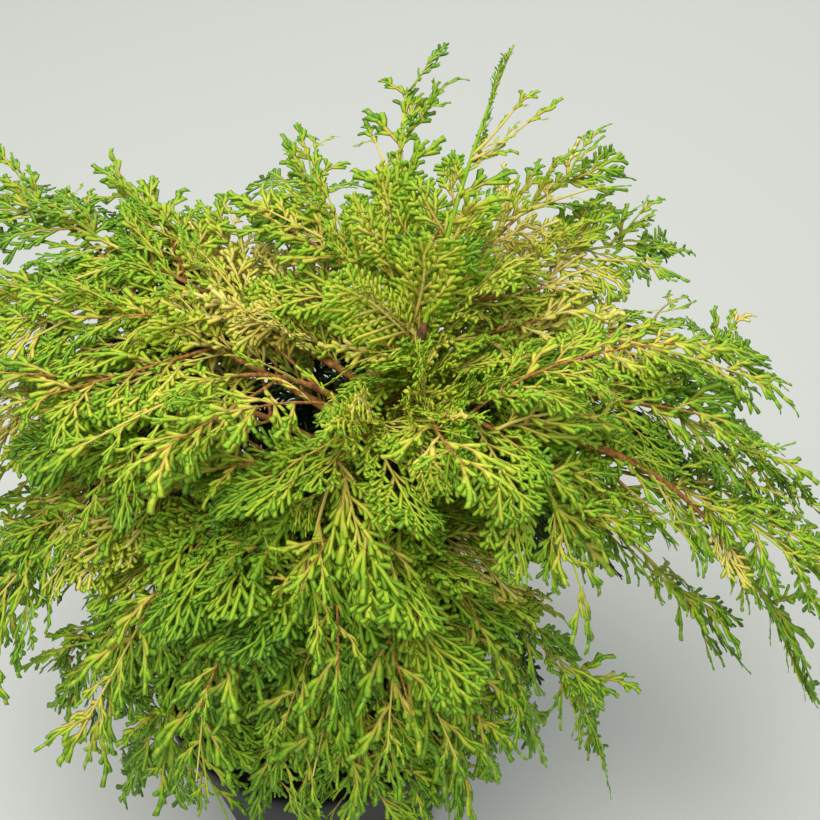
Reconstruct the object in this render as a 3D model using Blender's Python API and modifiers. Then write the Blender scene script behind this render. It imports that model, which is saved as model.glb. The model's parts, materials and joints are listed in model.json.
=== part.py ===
"""Dwarf hinoki cypress in a plain black nursery pot.

World frame: metres, +Z up, the origin at the centre of the pot's flat underside.
+X is to the right and +Y is away from whoever looks at the plant's front.

The plant is a leaning trunk, boughs that arch out from it and droop, and one mass of
foliage on each bough. A mass is a stem that grows on from its bough's tip, with side
twigs in turn to the left and right. Each twig runs on as the rib of a toothed blade,
which stands for one flat spray of scale leaves.
"""
import math
import random
from collections import namedtuple

import bmesh
import bpy
from mathutils import Matrix, Vector
from mathutils.bvhtree import BVHTree

PLANT = "dwarf_hinoki_cypress"
SEED = "hinoki 5"
GAP = 0.0003
UP = Vector((0.0, 0.0, 1.0))
CREASE = math.radians(35)
WELD = 1e-6

# Pot: thin moulded plastic with a rolled collar and drain holes in its floor
POT_HEIGHT = 0.130
POT_RIM_RADIUS = 0.075
POT_NECK_RADIUS = 0.0705
POT_FOOT_RADIUS = 0.055
POT_WALL = 0.0015
POT_FLOOR = 0.0020
COLLAR_DROP = 0.013
COLLAR_LIP = 0.0022
COLLAR_DRAFT = 0.0005
RIM_ROUND = 0.0008
FOOT_ROUND = 0.0015
POT_STEPS = 24
DRAIN_HOLES = 6
DRAIN_RADIUS = 0.005
DRAIN_RING = 0.038
DRAIN_SIDES = 8

# Potting peat: fills the pot to a little under the rim and rises to the trunk's foot
PEAT_EDGE = 0.115
PEAT_TOP = 0.118
PEAT_FLAT_RADIUS = 0.022

# Trunk: leans to the right and a little back, with a flared foot
TRUNK_FOOT = PEAT_TOP + GAP
TRUNK_TIP = 0.312
TRUNK_LEAN = 0.046
LEAN_CURVE = 1.4
TRUNK_BACK = 0.022
BACK_CURVE = 4
TRUNK_FOOT_RADIUS = 0.0062
TRUNK_TIP_RADIUS = 0.0016
TRUNK_FLARE = 0.0045
TRUNK_FLARE_HEIGHT = 0.007
TRUNK_RINGS = 13
RING_CROWDING = 1.6
TRUNK_SIDES = 12

# Boughs: tapering limbs, bare from the trunk to where their foliage starts
BOUGH_FOOT_RADIUS = 0.0021
BOUGH_TIP_RADIUS = 0.0011
FOOT_SHARE = 0.75
BOUGH_RINGS = 4
BOUGH_SIDES = 6
USUAL_BARE = 0.25
SQUARE_END = 0.001
ARC_STEP = 0.01
ARC_PARTS = 12

# Foliage masses
STEM_END = 0.86
TIP_SINK = 0.97
STEM_TIP_RADIUS = 0.0006
STEM_RINGS = 5
STEM_SIDES = 4
SIDE_SPRAYS = 6
STALKED_SPRAYS = 4
STALK = 0.20
FIRST_SPRAY = 0.05
LAST_SPRAY = 0.88
FORK_ANGLE = math.radians(52)
FORK_SWING = 0.25
SPRAY_LENGTH = 0.064
SPRAY_TAPER = 0.58
SPRAY_VARIATION = 0.08
SPRAY_DROOP = 0.22
RIB_KNOTS = (0.0, 0.34, 0.64)
TOOTH_REACH = 1.15
LAST_TOOTH = 0.65
TOOTH_SLANT = 0.02
NOTCH_WIDTH = 0.07
WIDEST = 0.8
FULLNESS = 0.7
BLADE_HALF_WIDTH = 0.33
BLADE_ROOT = 0.020
BLADE_HALF_THICKNESS = 0.0006
TIP_BLADE_WIDTH = 0.75
ROLL = math.radians(24)
TRIES = 14
SHRINK = 0.95
CLEARANCE = 0.0005
PROBE_LENGTH = 1.02
PROBE_WIDTH = 1.05
MASS_HALF_WIDTH = 0.062
POT_CLEARANCE = 0.004
LOWEST = 0.060

# Each bough's name, azimuth of its tip in degrees from +X, horizontal reach from the
# trunk, height of its foot on the trunk, height of its tip, rise of the arc over the
# straight line between them, and turn of the azimuth from foot to tip, then the tint
# of its foliage, the bare share of the arc and the size of its side sprays
Bough = namedtuple("Bough", "name azimuth reach foot tip arch turn tint bare spread",
                   defaults=(USUAL_BARE, 1.0))
BOUGHS = (
    Bough("rear_high", 92, 0.089, 0.302, 0.358, 0.006, 10, "green", USUAL_BARE, 0.60),
    Bough("rear_right_high", 54, 0.134, 0.296, 0.308, 0.010, 10, "green", USUAL_BARE, 0.70),
    Bough("rear_mid_high", 117, 0.097, 0.294, 0.319, 0.008, 0, "lime", USUAL_BARE, 0.95),
    Bough("rear_left_high", 142, 0.152, 0.288, 0.312, -0.004, 0, "green", USUAL_BARE, 0.75),
    Bough("left_high", 148, 0.204, 0.281, 0.298, 0.016, 8, "green", USUAL_BARE, 0.90),
    Bough("right_high", 42, 0.154, 0.276, 0.274, 0.022, 12, "green", USUAL_BARE, 0.85),
    Bough("upper_front", -116, 0.078, 0.275, 0.238, 0.038, 0, "gold", 0.30),
    Bough("upper_left", -168, 0.108, 0.267, 0.266, 0.034, -20, "gold", 0.28),
    Bough("upper_right", -30, 0.084, 0.265, 0.246, 0.040, 0, "gold", 0.30),
    Bough("left_mid_high", 158, 0.206, 0.262, 0.260, 0.038, 6, "lime", USUAL_BARE, 1.20),
    Bough("right_upper", 21, 0.179, 0.260, 0.235, 0.036, 12, "green", USUAL_BARE, 0.80),
    Bough("left_upper", 169, 0.194, 0.248, 0.212, 0.048, 0, "lime", USUAL_BARE, 1.20),
    Bough("front_left", -117, 0.094, 0.253, 0.138, 0.058, 0, "lime", USUAL_BARE, 1.10),
    Bough("right_mid", 9, 0.183, 0.246, 0.203, 0.044, 10, "green", USUAL_BARE, 0.95),
    Bough("front_right", -64, 0.088, 0.240, 0.147, 0.055, 0, "lime", USUAL_BARE, 0.90),
    Bough("left_front", -160, 0.133, 0.236, 0.150, 0.058, 0, "lime", USUAL_BARE, 1.10),
    Bough("arm", -2, 0.207, 0.226, 0.175, 0.048, 8, "lime", 0.28, 0.85),
    Bough("left", 178, 0.170, 0.224, 0.166, 0.056, 0, "green", USUAL_BARE, 1.15),
    Bough("front", -87, 0.087, 0.220, 0.146, 0.058, 0, "green", USUAL_BARE, 1.15),
    Bough("arm_hanging", -6, 0.198, 0.236, 0.124, 0.085, 6, "green", 0.60, 0.45),
    Bough("rear_low_mid", 106, 0.134, 0.212, 0.208, 0.040, 0, "green"),
    Bough("left_front_low", -140, 0.109, 0.211, 0.138, 0.064, 0, "green"),
    Bough("right_front", -35, 0.092, 0.208, 0.150, 0.062, 0, "lime", USUAL_BARE, 0.75),
    Bough("rear_low_right", 38, 0.130, 0.204, 0.158, 0.046, 0, "green"),
    Bough("rear_low_left", 148, 0.150, 0.198, 0.154, 0.048, 0, "green"),
    Bough("right_hanging", -4, 0.163, 0.196, 0.148, 0.068, 6, "green", 0.46, 0.55),
    Bough("rear_low", 84, 0.141, 0.190, 0.152, 0.048, 0, "green"),
    Bough("right_low", -27, 0.124, 0.184, 0.147, 0.050, 6, "green", 0.36, 0.55),
)
LEADER = Bough("leader", 63, 0.069, TRUNK_TIP, 0.388, 0.010, 0, "lime", 0.0, 0.36)

# Colours as they look in the photograph, as 8-bit sRGB, with roughness
FINISHES = {
    "pot_plastic": ((38, 39, 42), 0.45),
    "peat": ((52, 38, 27), 0.95),
    "bark": ((122, 78, 42), 0.85),
    "young_bark": ((176, 120, 52), 0.75),
    "foliage_gold": ((190, 188, 70), 0.60),
    "foliage_lime": ((132, 156, 38), 0.60),
    "foliage_green": ((92, 124, 28), 0.60),
}


def linear(channel):
    """One 8-bit sRGB channel as the linear value that a shader takes."""
    value = channel / 255
    return value / 12.92 if value <= 0.04045 else ((value + 0.055) / 1.055) ** 2.4


def finish(name):
    """The Principled material called name, made on first use."""
    material = bpy.data.materials.get(name)
    if material is None:
        colour, roughness = FINISHES[name]
        rgba = (*(linear(channel) for channel in colour), 1.0)
        material = bpy.data.materials.new(name)
        material.use_nodes = True
        shader = material.node_tree.nodes["Principled BSDF"]
        shader.inputs["Base Color"].default_value = rgba
        shader.inputs["Roughness"].default_value = roughness
        shader.inputs["Metallic"].default_value = 0.0
        material.diffuse_color = rgba
    return material


def new_collection(name, parent=None):
    """A new collection in the scene, or in another collection."""
    collection = bpy.data.collections.new(name)
    (parent or bpy.context.scene.collection).children.link(collection)
    return collection


def new_object(name, mesh, collection):
    """An object for a mesh, linked to a collection."""
    made = bpy.data.objects.new(name, mesh)
    collection.objects.link(made)
    return made


def dress(made, finish_name):
    """Gives an object its one material and smooth shading with sharp creases."""
    made.data.materials.clear()
    made.data.materials.append(finish(finish_name))
    made.data.shade_smooth()
    made.data.set_sharp_from_angle(angle=CREASE)


def evaluated_mesh(made):
    """A new mesh of an object with its modifiers applied."""
    bpy.context.view_layer.update()
    depsgraph = bpy.context.evaluated_depsgraph_get()
    return bpy.data.meshes.new_from_object(made.evaluated_get(depsgraph))


def applied(made):
    """Swaps an object's mesh for the one that its modifiers make."""
    mesh = evaluated_mesh(made)
    made.modifiers.clear()
    made.data = mesh
    return made


def welded(curve, name, collection):
    """A curve object made into a closed mesh object, with its loose caps welded on."""
    source = new_object(name + "_curve", curve, collection)
    mesh = evaluated_mesh(source)
    shape = bmesh.new()
    shape.from_mesh(mesh)
    bmesh.ops.remove_doubles(shape, verts=shape.verts, dist=WELD)
    bmesh.ops.recalc_face_normals(shape, faces=shape.faces)
    shape.to_mesh(mesh)
    shape.free()
    made = new_object(name, mesh, collection)
    made.matrix_world = source.matrix_world.copy()
    bpy.data.objects.remove(source)
    return made


def tube(name, points, radii, sides, collection):
    """A tapering limb along points, round or with as few as four sides."""
    curve = bpy.data.curves.new(name, "CURVE")
    curve.dimensions = "3D"
    curve.bevel_depth = 1.0
    curve.bevel_resolution = (sides - 4) // 2
    curve.use_fill_caps = True
    spline = curve.splines.new("POLY")
    spline.points.add(len(points) - 1)
    for knot, place, radius in zip(spline.points, points, radii):
        knot.co = (*place, 1.0)
        knot.radius = radius
    return welded(curve, name, collection)


def turned(name, profile, steps, collection):
    """A solid turned about Z from (radius, height) points, down its outer side."""
    mesh = bpy.data.meshes.new(name)
    places = [(radius, 0.0, height) for radius, height in profile]
    mesh.from_pydata(places, [(i, i + 1) for i in range(len(places) - 1)], [])
    made = new_object(name, mesh, collection)
    screw = made.modifiers.new("turn", "SCREW")
    screw.axis = "Z"
    screw.angle = math.tau
    screw.steps = steps
    screw.render_steps = steps
    screw.use_merge_vertices = True
    screw.merge_threshold = WELD
    return made


def cut(made, cutter, solver="EXACT"):
    """Takes the shape of a cutter, or of a collection of them, out of an object."""
    boolean = made.modifiers.new("cut", "BOOLEAN")
    boolean.operation = "DIFFERENCE"
    boolean.solver = solver
    if isinstance(cutter, bpy.types.Collection):
        boolean.operand_type = "COLLECTION"
        boolean.collection = cutter
    else:
        boolean.object = cutter


def guide(made):
    """Marks an object as a cutter, which is no piece of the plant."""
    made.hide_render = True
    made.display_type = "WIRE"


def pot_radius(height):
    """Outer radius of the pot's wall at a height."""
    share = height / (POT_HEIGHT - COLLAR_DROP)
    return POT_FOOT_RADIUS + (POT_NECK_RADIUS - POT_FOOT_RADIUS) * share


def build_pot(plant, cutters):
    """The turned pot with its collar and its ring of drain holes."""
    collar_foot = POT_HEIGHT - COLLAR_DROP
    top_bore = POT_RIM_RADIUS - COLLAR_LIP
    neck_bore = pot_radius(collar_foot) - POT_WALL
    floor_bore = pot_radius(POT_FLOOR) - POT_WALL
    profile = (
        (0.0, POT_FLOOR),
        (floor_bore, POT_FLOOR),
        (neck_bore, collar_foot - POT_WALL),
        (top_bore - POT_WALL / 2, collar_foot + POT_WALL),
        (top_bore, POT_HEIGHT - RIM_ROUND),
        (top_bore + RIM_ROUND, POT_HEIGHT),
        (POT_RIM_RADIUS - RIM_ROUND, POT_HEIGHT),
        (POT_RIM_RADIUS, POT_HEIGHT - RIM_ROUND),
        (POT_RIM_RADIUS - COLLAR_DRAFT, collar_foot),
        (POT_NECK_RADIUS, collar_foot - COLLAR_DRAFT),
        (pot_radius(FOOT_ROUND), FOOT_ROUND),
        (POT_FOOT_RADIUS - FOOT_ROUND, 0.0),
        (0.0, 0.0),
    )
    pot = turned("pot", profile, POT_STEPS, plant)
    drains = new_collection("drains", cutters)
    for i in range(DRAIN_HOLES):
        angle = math.tau * (i + 0.5) / DRAIN_HOLES
        bpy.ops.mesh.primitive_cylinder_add(
            vertices=DRAIN_SIDES, radius=DRAIN_RADIUS, depth=4 * POT_FLOOR,
            location=(DRAIN_RING * math.cos(angle), DRAIN_RING * math.sin(angle), 0.0))
        drain = bpy.context.object
        drain.name = f"drain_{i + 1}"
        for home in tuple(drain.users_collection):
            home.objects.unlink(drain)
        drains.objects.link(drain)
        guide(drain)
    cut(pot, drains, "MANIFOLD")
    dress(pot, "pot_plastic")
    return pot


def build_peat(plant):
    """The peat that fills the pot, clear of it all round."""
    floor = POT_FLOOR + GAP
    edge = pot_radius(PEAT_EDGE) - POT_WALL - 2 * GAP
    floor_edge = pot_radius(floor) - POT_WALL - 2 * GAP
    profile = (
        (0.0, PEAT_TOP),
        (PEAT_FLAT_RADIUS, PEAT_TOP),
        (edge, PEAT_EDGE),
        (floor_edge, floor),
        (0.0, floor),
    )
    peat = turned("potting_peat", profile, POT_STEPS, plant)
    dress(peat, "peat")
    return peat


def trunk_point(height):
    """The trunk's axis at a height: it leans to +X and, near its tip, to +Y."""
    share = (height - TRUNK_FOOT) / (TRUNK_TIP - TRUNK_FOOT)
    lean = TRUNK_LEAN * share ** LEAN_CURVE
    back = TRUNK_BACK * share ** BACK_CURVE
    return Vector((lean, back, height))


def trunk_radius(height):
    """The trunk's radius at a height, with the flare of its foot."""
    share = (height - TRUNK_FOOT) / (TRUNK_TIP - TRUNK_FOOT)
    taper = TRUNK_FOOT_RADIUS + (TRUNK_TIP_RADIUS - TRUNK_FOOT_RADIUS) * share
    return taper + TRUNK_FLARE * math.exp((TRUNK_FOOT - height) / TRUNK_FLARE_HEIGHT)


def trunk_rings():
    """Axis points of the trunk, close together at its foot, the first two in line."""
    steps = [(i / (TRUNK_RINGS - 1)) ** RING_CROWDING for i in range(TRUNK_RINGS)]
    points = [trunk_point(TRUNK_FOOT + (TRUNK_TIP - TRUNK_FOOT) * step) for step in steps]
    points[1].xy = points[0].xy
    return points


def build_trunk(plant):
    """The whole trunk from its flat cut on the peat to its tip."""
    points = trunk_rings()
    radii = [trunk_radius(point.z) for point in points]
    trunk = tube("trunk", points, radii, TRUNK_SIDES, plant)
    dress(trunk, "bark")
    return trunk


def build_trunk_sleeve(cutters):
    """The trunk made wider by the gap, to cut the boughs' feet with."""
    points = trunk_rings()
    radii = [trunk_radius(point.z) + GAP for point in points]
    sleeve = tube("trunk_sleeve", points, radii, TRUNK_SIDES, cutters)
    guide(sleeve)
    return sleeve


def arc_point(bough, share):
    """A place on a bough's arc, from the trunk's axis at 0 to the last tip at 1."""
    angle = math.radians(bough.azimuth + bough.turn * (1 - share))
    foot = trunk_point(bough.foot)
    rise = (bough.tip - bough.foot) * share + 4 * bough.arch * share * (1 - share)
    out = bough.reach * share
    return foot + Vector((out * math.cos(angle), out * math.sin(angle), rise))


def arc_direction(bough, share):
    """The way that a bough's arc runs at a place on it."""
    ahead = arc_point(bough, share + ARC_STEP)
    return (ahead - arc_point(bough, share - ARC_STEP)).normalized()


def arc_length(bough, start, end):
    """The length of a stretch of a bough's arc."""
    places = [arc_point(bough, share) for share in evenly(start, end, ARC_PARTS)]
    return sum((b - a).length for a, b in zip(places, places[1:]))


def evenly(first, last, count):
    """Count numbers from first to last, in even steps."""
    return [first + (last - first) * i / (count - 1) for i in range(count)]


def build_bough(bough, sleeve, plant):
    """One bare limb, cut clear of the trunk at its foot, with a square end at its tip."""
    points = [arc_point(bough, share) for share in evenly(0.0, bough.bare, BOUGH_RINGS)]
    points.insert(-1, points[-1] - arc_direction(bough, bough.bare) * SQUARE_END)
    foot_radius = min(BOUGH_FOOT_RADIUS, FOOT_SHARE * trunk_radius(bough.foot))
    radii = evenly(foot_radius, BOUGH_TIP_RADIUS, BOUGH_RINGS) + [BOUGH_TIP_RADIUS]
    limb = tube("bough_" + bough.name, points, radii, BOUGH_SIDES, plant)
    cut(limb, sleeve)
    applied(limb)
    keep_largest_body(limb.data)
    dress(limb, "young_bark")
    return limb


def blade_template(stalk, half_thickness, collection):
    """A toothed blade of unit length along +X with a raised rib, its root at the origin.

    The first share of it, stalk, is the bare twig that carries the blade. One quarter
    is a fan of faces for each tooth, from a knot on the rib to the tooth's edge. Two
    mirrors make it whole, and the root's end is then closed.
    """
    shape = bmesh.new()
    ribs = [shape.verts.new((stalk + (1 - stalk) * x, 0.0, half_thickness))
            for x in RIB_KNOTS]
    apex = shape.verts.new((1.0, 0.0, 0.0))
    notch = shape.verts.new((stalk, BLADE_ROOT, 0.0))
    if stalk:
        root_rib = shape.verts.new((0.0, 0.0, half_thickness))
        root = shape.verts.new((0.0, BLADE_ROOT, 0.0))
        shape.faces.new((root_rib, root, notch, ribs[0]))
    for tooth, rib in enumerate(ribs):
        reach = (tooth + TOOTH_REACH) / (len(ribs) + LAST_TOOTH)
        spread = BLADE_HALF_WIDTH * math.sin(math.pi * reach ** WIDEST) ** FULLNESS
        point = stalk + (1 - stalk) * reach
        edge = [notch, shape.verts.new((point, spread, 0.0))]
        if rib is ribs[-1]:
            edge.append(apex)
        else:
            width = BLADE_ROOT + NOTCH_WIDTH * (1 - reach)
            notch = shape.verts.new((point - TOOTH_SLANT, width, 0.0))
            edge += [notch, ribs[tooth + 1]]
        for first, second in zip(edge, edge[1:]):
            shape.faces.new((rib, first, second))
    for axis in "YZ":
        bmesh.ops.mirror(shape, geom=shape.verts[:] + shape.edges[:] + shape.faces[:],
                         merge_dist=WELD, axis=axis)
    bmesh.ops.holes_fill(shape, edges=shape.edges)
    bmesh.ops.triangulate(shape, faces=shape.faces)
    bmesh.ops.recalc_face_normals(shape, faces=shape.faces)
    mesh = bpy.data.meshes.new("blade")
    shape.to_mesh(mesh)
    shape.free()
    return new_object("blade", mesh, collection)


def facing(origin, forward, normal):
    """A placement at origin with +X along forward and +Z as near normal as it goes."""
    side = normal.cross(forward).normalized()
    upright = forward.cross(side).normalized()
    turn = Matrix((forward, side, upright)).transposed()
    return Matrix.Translation(origin) @ turn.to_4x4()


def bent_blade(template, placement, length, widen):
    """A copy of the unit blade at a length, drooping towards its tip."""
    mesh = template.data.copy()
    droop = placement.to_3x3().inverted() @ (-UP)
    for vertex in mesh.vertices:
        x, y, z = vertex.co
        bend = SPRAY_DROOP * length * x * x
        place = Vector((x * length, y * length * widen, z)) + droop * bend
        vertex.co = placement @ place
    return mesh


def tree_of(mesh):
    """A search tree of a mesh's faces, to find what touches it."""
    places = [vertex.co.copy() for vertex in mesh.vertices]
    return BVHTree.FromPolygons(places, [tuple(face.vertices) for face in mesh.polygons])


def grown_tree(made):
    """A search tree of a finished object."""
    mesh = evaluated_mesh(made)
    tree = tree_of(mesh)
    bpy.data.meshes.remove(mesh)
    return tree


def in_own_space(bough, mesh):
    """Whether a piece stays near its own stem, over the table and clear of the pot."""
    stations = [arc_point(bough, share) for share in evenly(bough.bare, 1.0, ARC_PARTS)]
    for vertex in mesh.vertices:
        place = vertex.co
        if place.z < LOWEST:
            return False
        beside_pot = place.z < POT_HEIGHT + POT_CLEARANCE
        if beside_pot and place.xy.length < POT_RIM_RADIUS + POT_CLEARANCE:
            return False
        if min((place - station).length for station in stations) > MASS_HALF_WIDTH:
            return False
    return True


def stem_shares(bough):
    """Places on the arc between which a mass's stem runs."""
    return bough.bare, bough.bare + (1 - bough.bare) * STEM_END


def build_stem(bough, plant):
    """The stem of one mass, which its twigs and blades are fused to."""
    points = [arc_point(bough, share) for share in evenly(*stem_shares(bough), STEM_RINGS)]
    way = arc_direction(bough, bough.bare)
    points[0] = arc_point(bough, bough.bare) + way * GAP
    points.insert(1, points[0] + way * SQUARE_END)
    radii = [BOUGH_TIP_RADIUS] + evenly(BOUGH_TIP_RADIUS, STEM_TIP_RADIUS, STEM_RINGS)
    return tube("foliage_" + bough.name, points, radii, STEM_SIDES, plant)


def spray_meshes(bough, share, angle, length, roll, kind, templates):
    """One spray from a place on a stem, and a wider copy to test the space with."""
    forward = arc_direction(bough, share)
    across = forward.cross(UP).normalized()
    normal = across.cross(forward)
    heading = Matrix.Rotation(angle, 3, normal) @ forward
    normal = Matrix.Rotation(roll, 3, heading) @ normal
    placement = facing(arc_point(bough, share), heading, normal)
    widen = TIP_BLADE_WIDTH if kind == "tip" else 1.0
    blade, probe = templates[kind]
    spray = bent_blade(blade, placement, length, widen)
    return spray, bent_blade(probe, placement, length * PROBE_LENGTH, widen * PROBE_WIDTH)


def try_spray(bough, share, side, kind, rng, templates, taken):
    """A spray that keeps to its own space and touches nothing else, or None."""
    grown = (share - bough.bare) / (1 - bough.bare)
    length = bough.spread * SPRAY_LENGTH * (1 - SPRAY_TAPER * grown)
    length *= 1 + rng.uniform(-SPRAY_VARIATION, SPRAY_VARIATION)
    if kind == "tip":
        length = arc_length(bough, share, 1.0)
    for attempt in range(TRIES):
        loose = attempt / TRIES
        angle = side * (FORK_ANGLE + rng.uniform(-FORK_SWING, FORK_SWING) * (0.5 + loose))
        roll = rng.uniform(-ROLL, ROLL) * (0.5 + 2 * loose)
        spray, probe = spray_meshes(bough, share, angle, length, roll, kind, templates)
        probe_tree = tree_of(probe)
        touches = any(probe_tree.overlap(tree) for tree in taken)
        if in_own_space(bough, probe) and not touches:
            return spray
        length *= SHRINK
    return None


def join_mass(stem, pieces):
    """Fuses a mass's sprays to its stem with one union, and drops any loose scrap."""
    collection = new_collection("sprays_" + stem.name)
    members = []
    for i, mesh in enumerate(pieces):
        members.append(new_object(f"{stem.name}_piece_{i}", mesh, collection))
    union = stem.modifiers.new("union", "BOOLEAN")
    union.operation = "UNION"
    union.operand_type = "COLLECTION"
    union.collection = collection
    union.solver = "MANIFOLD"
    applied(stem)
    for member in members:
        bpy.data.objects.remove(member)
    bpy.data.collections.remove(collection)
    keep_largest_body(stem.data)


def keep_largest_body(mesh):
    """Leaves only the largest connected body of a mesh."""
    shape = bmesh.new()
    shape.from_mesh(mesh)
    left = set(shape.verts)
    bodies = []
    while left:
        body = {left.pop()}
        edge = list(body)
        while edge:
            vertex = edge.pop()
            for link in vertex.link_edges:
                other = link.other_vert(vertex)
                if other in left:
                    left.remove(other)
                    body.add(other)
                    edge.append(other)
        bodies.append(body)
    bodies.sort(key=len)
    for body in bodies[:-1]:
        bmesh.ops.delete(shape, geom=list(body), context="VERTS")
    shape.to_mesh(mesh)
    shape.free()


def build_masses(plant, cutters, taken):
    """All the foliage: every stem first, then the tips, then the side sprays in turn."""
    templates = {}
    for kind, stalk in (("tip", 0.0), ("short", 0.0), ("stalked", STALK)):
        templates[kind] = [
            blade_template(stalk, BLADE_HALF_THICKNESS, cutters),
            blade_template(stalk, BLADE_HALF_THICKNESS + CLEARANCE, cutters)]
    boughs = (LEADER,) + BOUGHS
    stems = {bough: build_stem(bough, plant) for bough in boughs}
    stem_trees = {bough: grown_tree(stem) for bough, stem in stems.items()}
    sprays = {bough: [] for bough in boughs}
    spray_trees = {bough: [] for bough in boughs}
    rngs = {bough: random.Random(SEED + bough.name) for bough in boughs}

    def add(bough, place, side, kind):
        start, end = stem_shares(bough)
        near = taken + [stem_trees[other] for other in boughs if other is not bough]
        near += [tree for trees in spray_trees.values() for tree in trees]
        spray = try_spray(bough, start + (end - start) * place, side, kind,
                          rngs[bough], templates, near)
        if spray:
            sprays[bough].append(spray)
            spray_trees[bough].append(tree_of(spray))

    for bough in boughs:
        add(bough, TIP_SINK, 0, "tip")
    for k, place in enumerate(evenly(LAST_SPRAY, FIRST_SPRAY, SIDE_SPRAYS)):
        kind = "stalked" if k >= SIDE_SPRAYS - STALKED_SPRAYS else "short"
        for bough in boughs:
            add(bough, place, 1 if k % 2 else -1, kind)
    for bough in boughs:
        join_mass(stems[bough], sprays[bough])
        dress(stems[bough], "foliage_" + bough.tint)
    for pair in templates.values():
        for template in pair:
            bpy.data.objects.remove(template)


def build_plant():
    """The potted plant, from the pot up."""
    for old in tuple(bpy.data.objects):
        bpy.data.objects.remove(old)
    plant = new_collection(PLANT)
    cutters = new_collection("cutters")
    pot = build_pot(plant, cutters)
    peat = build_peat(plant)
    trunk = build_trunk(plant)
    sleeve = build_trunk_sleeve(cutters)
    limbs = [build_bough(bough, sleeve, plant) for bough in BOUGHS]
    taken = [grown_tree(made) for made in [pot, peat, trunk] + limbs]
    build_masses(plant, cutters, taken)


build_plant()
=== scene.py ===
# %% [markdown]
# # A dwarf hinoki cypress in its nursery pot
#
# The plant is a short leaning trunk that carries arching boughs. Each bough bears flat
# sprays of scale leaves, cream and gold close to the heart of the plant, and lime to
# deep green towards the tips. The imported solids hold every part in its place, so this
# file starts from them and grows the fine foliage on the same limbs.

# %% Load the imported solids
import json
import math
import random
from collections import namedtuple

import bmesh
import bpy
from mathutils import Matrix, Vector

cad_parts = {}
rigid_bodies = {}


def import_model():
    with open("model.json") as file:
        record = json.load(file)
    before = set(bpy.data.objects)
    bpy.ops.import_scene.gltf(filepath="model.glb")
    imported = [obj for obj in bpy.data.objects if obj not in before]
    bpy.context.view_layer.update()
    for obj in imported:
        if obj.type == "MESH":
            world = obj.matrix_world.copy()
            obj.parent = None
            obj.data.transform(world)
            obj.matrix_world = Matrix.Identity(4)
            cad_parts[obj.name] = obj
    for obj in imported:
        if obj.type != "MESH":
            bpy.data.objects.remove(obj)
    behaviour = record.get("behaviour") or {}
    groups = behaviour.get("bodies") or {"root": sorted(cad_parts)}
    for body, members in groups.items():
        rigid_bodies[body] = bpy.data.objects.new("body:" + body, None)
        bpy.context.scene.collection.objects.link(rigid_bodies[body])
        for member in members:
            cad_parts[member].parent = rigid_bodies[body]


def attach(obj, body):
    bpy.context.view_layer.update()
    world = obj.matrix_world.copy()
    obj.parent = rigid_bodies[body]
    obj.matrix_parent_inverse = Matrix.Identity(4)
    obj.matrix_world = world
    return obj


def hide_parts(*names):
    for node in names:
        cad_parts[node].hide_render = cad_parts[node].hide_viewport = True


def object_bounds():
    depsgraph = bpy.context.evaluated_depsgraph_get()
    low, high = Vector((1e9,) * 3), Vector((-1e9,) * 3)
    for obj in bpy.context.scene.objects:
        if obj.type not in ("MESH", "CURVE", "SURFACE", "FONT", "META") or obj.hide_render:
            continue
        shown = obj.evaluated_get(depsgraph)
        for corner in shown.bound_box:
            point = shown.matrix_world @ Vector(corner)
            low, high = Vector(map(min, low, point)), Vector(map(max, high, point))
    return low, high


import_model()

CAD_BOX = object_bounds()
print("solids from", [round(v, 3) for v in CAD_BOX[0]], "to", [round(v, 3) for v in CAD_BOX[1]])

# %% [markdown]
# ## The limbs' lines
#
# Everything hangs on a few lines: the leaning trunk and one arc for each bough. The
# arcs follow the same rule and the same sizes as the solids. A bough leaves the trunk
# at a height, reaches out to its tip at another, rises over the straight line between
# them, and may turn a little on the way. The last words say what tint its foliage has,
# how much of it is bare, and how large its side sprays are.

# %% The trunk's line
UP = Vector((0.0, 0.0, 1.0))
TRUNK_FOOT, TRUNK_TIP = 0.1183, 0.312
TRUNK_LEAN, TRUNK_BACK = 0.046, 0.022


def trunk_point(height):
    """The trunk's axis at a height."""
    share = max(0.0, (height - TRUNK_FOOT) / (TRUNK_TIP - TRUNK_FOOT))
    return Vector((TRUNK_LEAN * share ** 1.4, TRUNK_BACK * share ** 4, height))


def trunk_radius(height):
    """The trunk's radius at a height, with the flare of its foot."""
    share = (height - TRUNK_FOOT) / (TRUNK_TIP - TRUNK_FOOT)
    return 0.0062 - 0.0046 * share + 0.0045 * math.exp((TRUNK_FOOT - height) / 0.007)


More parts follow.
